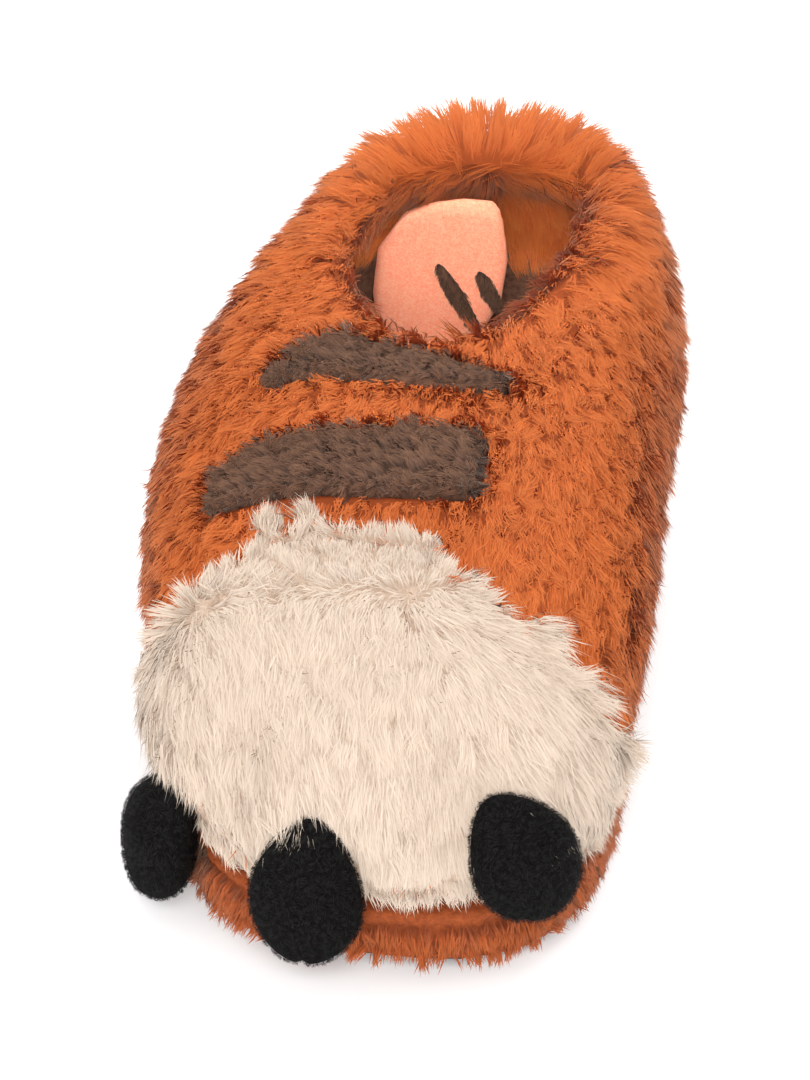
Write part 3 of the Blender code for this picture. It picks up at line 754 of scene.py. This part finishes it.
rust_fibre = pile_material("rust_fibre", 0.15, (1.0, 0.7, 0.5))
felt_fibre = pile_material("felt_fibre", 0.0, (1.0, 1.0, 1.0))
cream_fibre = pile_material("cream_fibre", 0.1, (1.0, 0.95, 0.9))
stripe_fibre = pile_material("stripe_fibre", 0.15, (0.9, 0.75, 0.65))
lining, lining_tree, lining_shader, lining_cloth = cloth_material(
    "backing_and_lining", linear(70, 44, 32), linear(110, 76, 58), 500.0, 0.0004, 0.1
)
pile_mask = lining_tree.nodes.new("ShaderNodeAttribute")
pile_mask.attribute_name = "pile"
under_pile = lining_tree.nodes.new("ShaderNodeMix")
under_pile.data_type = "RGBA"
under_pile.inputs["B"].default_value = (*linear(150, 70, 30), 1)
lining_tree.links.new(pile_mask.outputs["Fac"], under_pile.inputs["Factor"])
lining_tree.links.new(lining_cloth.outputs["Colour"], under_pile.inputs["A"])
lining_tree.links.new(under_pile.outputs["Result"], lining_shader.inputs["Base Color"])
CLOTHS = (
    # name, deep colour, light colour, scale of the grain, relief, sheen
    ("rust_cloth", (120, 54, 22), (150, 72, 32), 700.0, 0.0004, 0.0),
    ("cream_backing", (166, 142, 122), (190, 168, 150), 700.0, 0.0004, 0.0),
    ("stripe_backing", (62, 42, 31), (88, 62, 48), 700.0, 0.0004, 0.0),
    ("black_felt", (2, 2, 2), (18, 16, 15), 1400.0, 0.0006, 0.0),
    ("coral_velour", (252, 142, 106), (255, 178, 144), 1500.0, 0.0003, 0.3),
    ("brown_thread", (30, 20, 16), (74, 54, 44), 1800.0, 0.0005, 0.0),
    ("brown_footbed", (74, 48, 36), (112, 80, 62), 600.0, 0.0004, 0.1),
    ("dark_rubber", (30, 24, 21), (46, 38, 33), 300.0, 0.0003, 0.0),
)
cloth = {
    name: cloth_material(name, linear(*deep), linear(*light), *values)
    for name, deep, light, *values in CLOTHS
}
FELT_SHINE = 0.06
felt_shader = cloth["black_felt"][2]
felt_shader.inputs["Specular IOR Level"].default_value = FELT_SHINE

# %% [markdown]
# Each piece is given its material, rides on the slipper's one body and stands for the CAD node
# whose place it takes.

# %% Dress the frame
DRESSING = (
    # piece, material, node that it stands for, how full it is stuffed
    (upper_backing, lining, "upper", 0.7),
    (cap_backing, cloth["cream_backing"][0], "toe_cap", 0.7),
    (stripe_backings[0], cloth["stripe_backing"][0], "stripe_front", 0.6),
    (stripe_backings[1], cloth["stripe_backing"][0], "stripe_rear", 0.6),
    (sole_backing, cloth["rust_cloth"][0], "midsole", 0.9),
    (pile_pieces["collar_pile"], rust_fibre, "upper", None),
    (pile_pieces["heel_pile"], rust_fibre, "upper", None),
    (pile_pieces["lateral_pile"], rust_fibre, "upper", None),
    (pile_pieces["medial_pile"], rust_fibre, "upper", None),
    (pile_pieces["toe_cap_pile"], cream_fibre, "toe_cap", None),
    (pile_pieces["stripe_front_pile"], stripe_fibre, "stripe_front", None),
    (pile_pieces["stripe_rear_pile"], stripe_fibre, "stripe_rear", None),
    (pile_pieces["sole_pile"], rust_fibre, "midsole", None),
    (claws[0], cloth["black_felt"][0], "claw_lateral", 0.9),
    (claws[1], cloth["black_felt"][0], "claw_middle", 0.9),
    (claws[2], cloth["black_felt"][0], "claw_medial", 0.9),
    (pile_pieces["claw_lateral_nap"], felt_fibre, "claw_lateral", None),
    (pile_pieces["claw_middle_nap"], felt_fibre, "claw_middle", None),
    (pile_pieces["claw_medial_nap"], felt_fibre, "claw_medial", None),
    (tab, cloth["coral_velour"][0], "heel_tab", 0.5),
    (strokes[0][0], cloth["brown_thread"][0], "heel_tab", None),
    (strokes[1][0], cloth["brown_thread"][0], "heel_tab", None),
    (strokes[0][1], stripe_fibre, "heel_tab", None),
    (strokes[1][1], stripe_fibre, "heel_tab", None),
    (footbed, cloth["brown_footbed"][0], "insole", 0.6),
    (walking_sole, cloth["dark_rubber"][0], "outsole", None),
)
for piece, material, node, fill in DRESSING:
    piece.data.materials.clear()
    piece.data.materials.append(material)
    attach(piece, "root")
    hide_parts(node)
print(len(DRESSING), "pieces dressed")

# %% [markdown]
# The slipper stands on a plain pale floor under large soft lamps, and a narrow one shines into the
# heel, which the collar would shade too much. The camera is at the height and side of the picture
# that it is matched to: a little to the right of the toes, and well above.

# %% Floor, light and camera
bpy.ops.mesh.primitive_plane_add(size=8.0, location=(0, 0, 0))
floor = bpy.context.object
floor.name = "floor"
floor_material, floor_tree, floor_shader = new_material("pale_floor", 0.9)
floor_shader.inputs["Base Color"].default_value = (0.93, 0.93, 0.93, 1)
floor.data.materials.append(floor_material)

world = bpy.data.worlds.new("studio")
bpy.context.scene.world = world
world.use_nodes = True
world.node_tree.nodes["Background"].inputs["Color"].default_value = (1.0, 1.0, 1.0, 1)
world.node_tree.nodes["Background"].inputs["Strength"].default_value = 0.95


def lamp(name, place, size, energy, aim=(0, 0, 0.05), spread=180.0):
    data = bpy.data.lights.new(name, "AREA")
    data.size = size
    data.energy = energy
    data.spread = math.radians(spread)
    source = bpy.data.objects.new(name, data)
    bpy.context.scene.collection.objects.link(source)
    source.location = place
    source.rotation_euler = (Vector(aim) - Vector(place)).to_track_quat("-Z", "Y").to_euler()
    return source


lamp("key", (0.1, -1.35, 1.15), 0.9, 25)
lamp("fill", (-1.4, -0.7, 0.8), 1.2, 4)
lamp("back", (0.2, 1.1, 1.5), 1.2, 17)
lamp("into_the_heel", (0.12, -0.45, 0.62), 0.06, 0.016, (-0.005, 0.108, 0.080), 12.0)

AZIMUTH, ELEVATION, DISTANCE = 9.2, 37.0, 1.3
camera_data = bpy.data.cameras.new("camera")
camera_data.lens = 149.4
camera_data.sensor_width = 36.0
camera_data.clip_start = 0.05
camera = bpy.data.objects.new("camera", camera_data)
bpy.context.scene.collection.objects.link(camera)
a, e = math.radians(AZIMUTH), math.radians(ELEVATION)
back = Vector((math.sin(a) * math.cos(e), -math.cos(a) * math.cos(e), math.sin(e)))
camera.location = Vector((0, 0, 0.05)) + back * DISTANCE
camera.rotation_euler = back.to_track_quat("Z", "Y").to_euler()
bpy.context.scene.camera = camera
bpy.context.scene.view_settings.view_transform = "Standard"
bpy.context.scene.cycles.max_bounces = 6
print("camera at", [round(v, 3) for v in camera.location])
